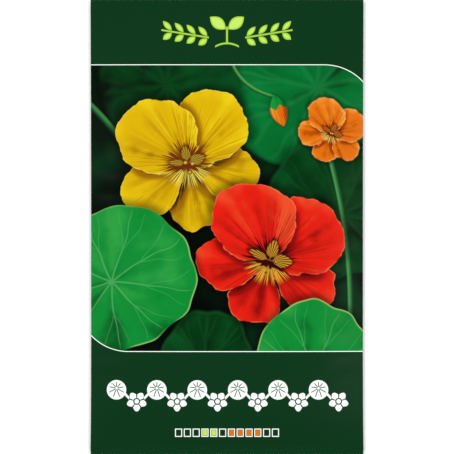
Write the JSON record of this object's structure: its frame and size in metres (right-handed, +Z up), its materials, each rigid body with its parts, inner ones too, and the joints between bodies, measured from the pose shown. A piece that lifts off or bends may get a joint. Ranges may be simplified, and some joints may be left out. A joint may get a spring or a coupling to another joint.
{
  "type": "seed packet",
  "caption": "Flat paper seed packet, folded from one printed sheet, glued down the back and at both end flaps, with loose nasturtium seeds sealed inside.",
  "frame": {"origin": "under the middle of the packet, on the surface that it lies on", "axes": "+Z up, out of the printed front; +Y along the packet's length to its closing flap; +X across it to the right, as seen from the front"},
  "size_m": [0.09, 0.15, 0.0077],
  "materials": {
    "printed_paper": "smooth coated paper with a slight sheen, printed dark green with a colour picture, white where it is cut",
    "dried_glue": "dried starch glue, cream and slightly glossy",
    "seed_husk": "matt corky husk, tan, with darker furrows"
  },
  "bodies": {
    "root": {"sachet": "printed_paper", "seam_glue": "dried_glue", "closing_flap_glue": "dried_glue", "bottom_flap_glue": "dried_glue", "seed_01": "seed_husk", "seed_02": "seed_husk", "seed_03": "seed_husk", "seed_04": "seed_husk", "seed_05": "seed_husk", "seed_06": "seed_husk", "seed_07": "seed_husk", "seed_08": "seed_husk", "seed_09": "seed_husk", "seed_10": "seed_husk", "seed_11": "seed_husk", "seed_12": "seed_husk", "seed_13": "seed_husk", "seed_14": "seed_husk", "seed_15": "seed_husk", "seed_16": "seed_husk", "seed_17": "seed_husk", "seed_18": "seed_husk", "seed_19": "seed_husk", "seed_20": "seed_husk", "seed_21": "seed_husk"}
  },
  "joints": []
}
